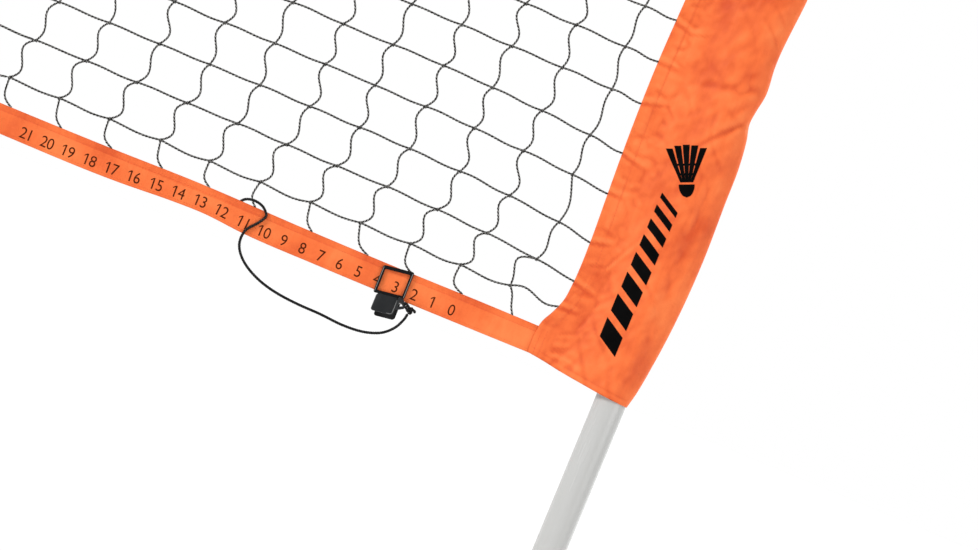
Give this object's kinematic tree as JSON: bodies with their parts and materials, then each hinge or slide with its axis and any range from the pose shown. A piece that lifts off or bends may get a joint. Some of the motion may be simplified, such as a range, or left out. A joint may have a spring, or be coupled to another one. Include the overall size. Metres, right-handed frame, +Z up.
{
  "type": "portable badminton net",
  "caption": "Free-standing portable badminton net on telescoping poles, with fabric end sleeves, a numbered bottom tape with sliding scorers, and a folding base.",
  "frame": {"origin": "on the floor under the middle of the net", "axes": "+X along the net, +Y through the net away from the front side, +Z up"},
  "size_m": [3.08, 0.908, 1.55],
  "materials": {
    "orange_fabric": "satin",
    "net_twine": "matte",
    "tether_cord": "satin",
    "pole_grey": "gloss",
    "base_tube": "satin",
    "moulded_black": "satin",
    "scorer_black": "satin",
    "rubber": "matte",
    "zinc_steel": "satin"
  },
  "bodies": {
    "base": {"middle_ground_bar": "base_tube", "right_hub": "moulded_black", "right_hub_pad": "rubber", "right_lower_pole": "base_tube", "right_clamp_collar": "moulded_black", "right_clamp_bolt": "zinc_steel", "right_lever_pin": "zinc_steel", "right_front_leg_pin": "zinc_steel", "right_rear_leg_pin": "zinc_steel", "right_ground_bar": "base_tube", "right_bar_coupler": "moulded_black", "right_button_spring": "zinc_steel", "left_hub": "moulded_black", "left_hub_pad": "rubber", "left_lower_pole": "base_tube", "left_clamp_collar": "moulded_black", "left_clamp_bolt": "zinc_steel", "left_lever_pin": "zinc_steel", "left_front_leg_pin": "zinc_steel", "left_rear_leg_pin": "zinc_steel", "left_ground_bar": "base_tube", "left_bar_coupler": "moulded_black", "left_button_spring": "zinc_steel"},
    "net_and_poles": {"top_tape": "orange_fabric", "bottom_tape": "orange_fabric", "net_panel": "net_twine", "head_cord": "net_twine", "right_upper_pole": "pole_grey", "right_pole_bush": "moulded_black", "right_pole_cap": "moulded_black", "right_sleeve": "orange_fabric", "right_tether": "tether_cord", "left_upper_pole": "pole_grey", "left_pole_bush": "moulded_black", "left_pole_cap": "moulded_black", "left_sleeve": "orange_fabric", "left_tether": "tether_cord"},
    "right_clamp_lever": {"right_clamp_lever": "moulded_black"},
    "right_front_leg": {"right_front_leg": "base_tube", "right_front_foot": "rubber"},
    "right_rear_leg": {"right_rear_leg": "base_tube", "right_rear_foot": "rubber"},
    "right_snap_button": {"right_snap_button": "zinc_steel"},
    "right_scorer": {"right_scorer_frame": "scorer_black", "right_scorer_pin": "zinc_steel", "right_scorer_spring": "zinc_steel", "right_tether_knot": "tether_cord"},
    "right_scorer_jaw": {"right_scorer_jaw": "scorer_black"},
    "left_clamp_lever": {"left_clamp_lever": "moulded_black"},
    "left_front_leg": {"left_front_leg": "base_tube", "left_front_foot": "rubber"},
    "left_rear_leg": {"left_rear_leg": "base_tube", "left_rear_foot": "rubber"},
    "left_snap_button": {"left_snap_button": "zinc_steel"},
    "left_scorer": {"left_scorer_frame": "scorer_black", "left_scorer_pin": "zinc_steel", "left_scorer_spring": "zinc_steel", "left_tether_knot": "tether_cord"},
    "left_scorer_jaw": {"left_scorer_jaw": "scorer_black"}
  },
  "joints": [
    {"name": "height_slide", "type": "slide", "parent": "base", "child": "net_and_poles", "axis": [0, 0, 1], "range_m": [-0.36, 0]},
    {"name": "right_lever_hinge", "type": "hinge", "parent": "base", "child": "right_clamp_lever", "pos_m": [1.532, -0.017, 0.495], "axis": [0, 0, 1], "range_deg": [0, 90]},
    {"name": "right_front_leg_hinge", "type": "hinge", "parent": "base", "child": "right_front_leg", "pos_m": [1.5, -0.048, 0.018], "axis": [-1, 0, 0], "range_deg": [0, 90]},
    {"name": "right_rear_leg_hinge", "type": "hinge", "parent": "base", "child": "right_rear_leg", "pos_m": [1.5, 0.048, 0.018], "axis": [1, 0, 0], "range_deg": [0, 90]},
    {"name": "right_button_travel", "type": "slide", "parent": "base", "child": "right_snap_button", "axis": [0, 0, 1], "range_m": [-0.0035, 0], "stiffness_N_per_m": 1500, "springref_m": 0.001, "deforming": ["right_button_spring"]},
    {"name": "right_scorer_slide", "type": "slide", "parent": "net_and_poles", "child": "right_scorer", "axis": [1, 0, 0], "range_m": [-0.37, 0.058], "deforming": ["right_tether"]},
    {"name": "right_scorer_jaw_hinge", "type": "hinge", "parent": "right_scorer", "child": "right_scorer_jaw", "pos_m": [1.27422, 0, 0.92294], "axis": [-0.9925, 0, -0.1219], "range_deg": [0, 18], "stiffness_Nm_per_rad": 0.06, "springref_deg": -8.59, "deforming": ["right_scorer_spring"]},
    {"name": "left_lever_hinge", "type": "hinge", "parent": "base", "child": "left_clamp_lever", "pos_m": [-1.532, 0.017, 0.495], "axis": [0, 0, 1], "range_deg": [0, 90]},
    {"name": "left_front_leg_hinge", "type": "hinge", "parent": "base", "child": "left_front_leg", "pos_m": [-1.5, 0.048, 0.018], "axis": [1, 0, 0], "range_deg": [0, 90]},
    {"name": "left_rear_leg_hinge", "type": "hinge", "parent": "base", "child": "left_rear_leg", "pos_m": [-1.5, -0.048, 0.018], "axis": [-1, 0, 0], "range_deg": [0, 90]},
    {"name": "left_button_travel", "type": "slide", "parent": "base", "child": "left_snap_button", "axis": [0, 0, 1], "range_m": [-0.0035, 0], "stiffness_N_per_m": 1500, "springref_m": 0.001, "deforming": ["left_button_spring"]},
    {"name": "left_scorer_slide", "type": "slide", "parent": "net_and_poles", "child": "left_scorer", "axis": [-1, 0, 0], "range_m": [-0.37, 0.058], "deforming": ["left_tether"]},
    {"name": "left_scorer_jaw_hinge", "type": "hinge", "parent": "left_scorer", "child": "left_scorer_jaw", "pos_m": [-1.27422, 0, 0.92294], "axis": [0.9925, 0, -0.1219], "range_deg": [0, 18], "stiffness_Nm_per_rad": 0.06, "springref_deg": -8.59, "deforming": ["left_scorer_spring"]}
  ]
}
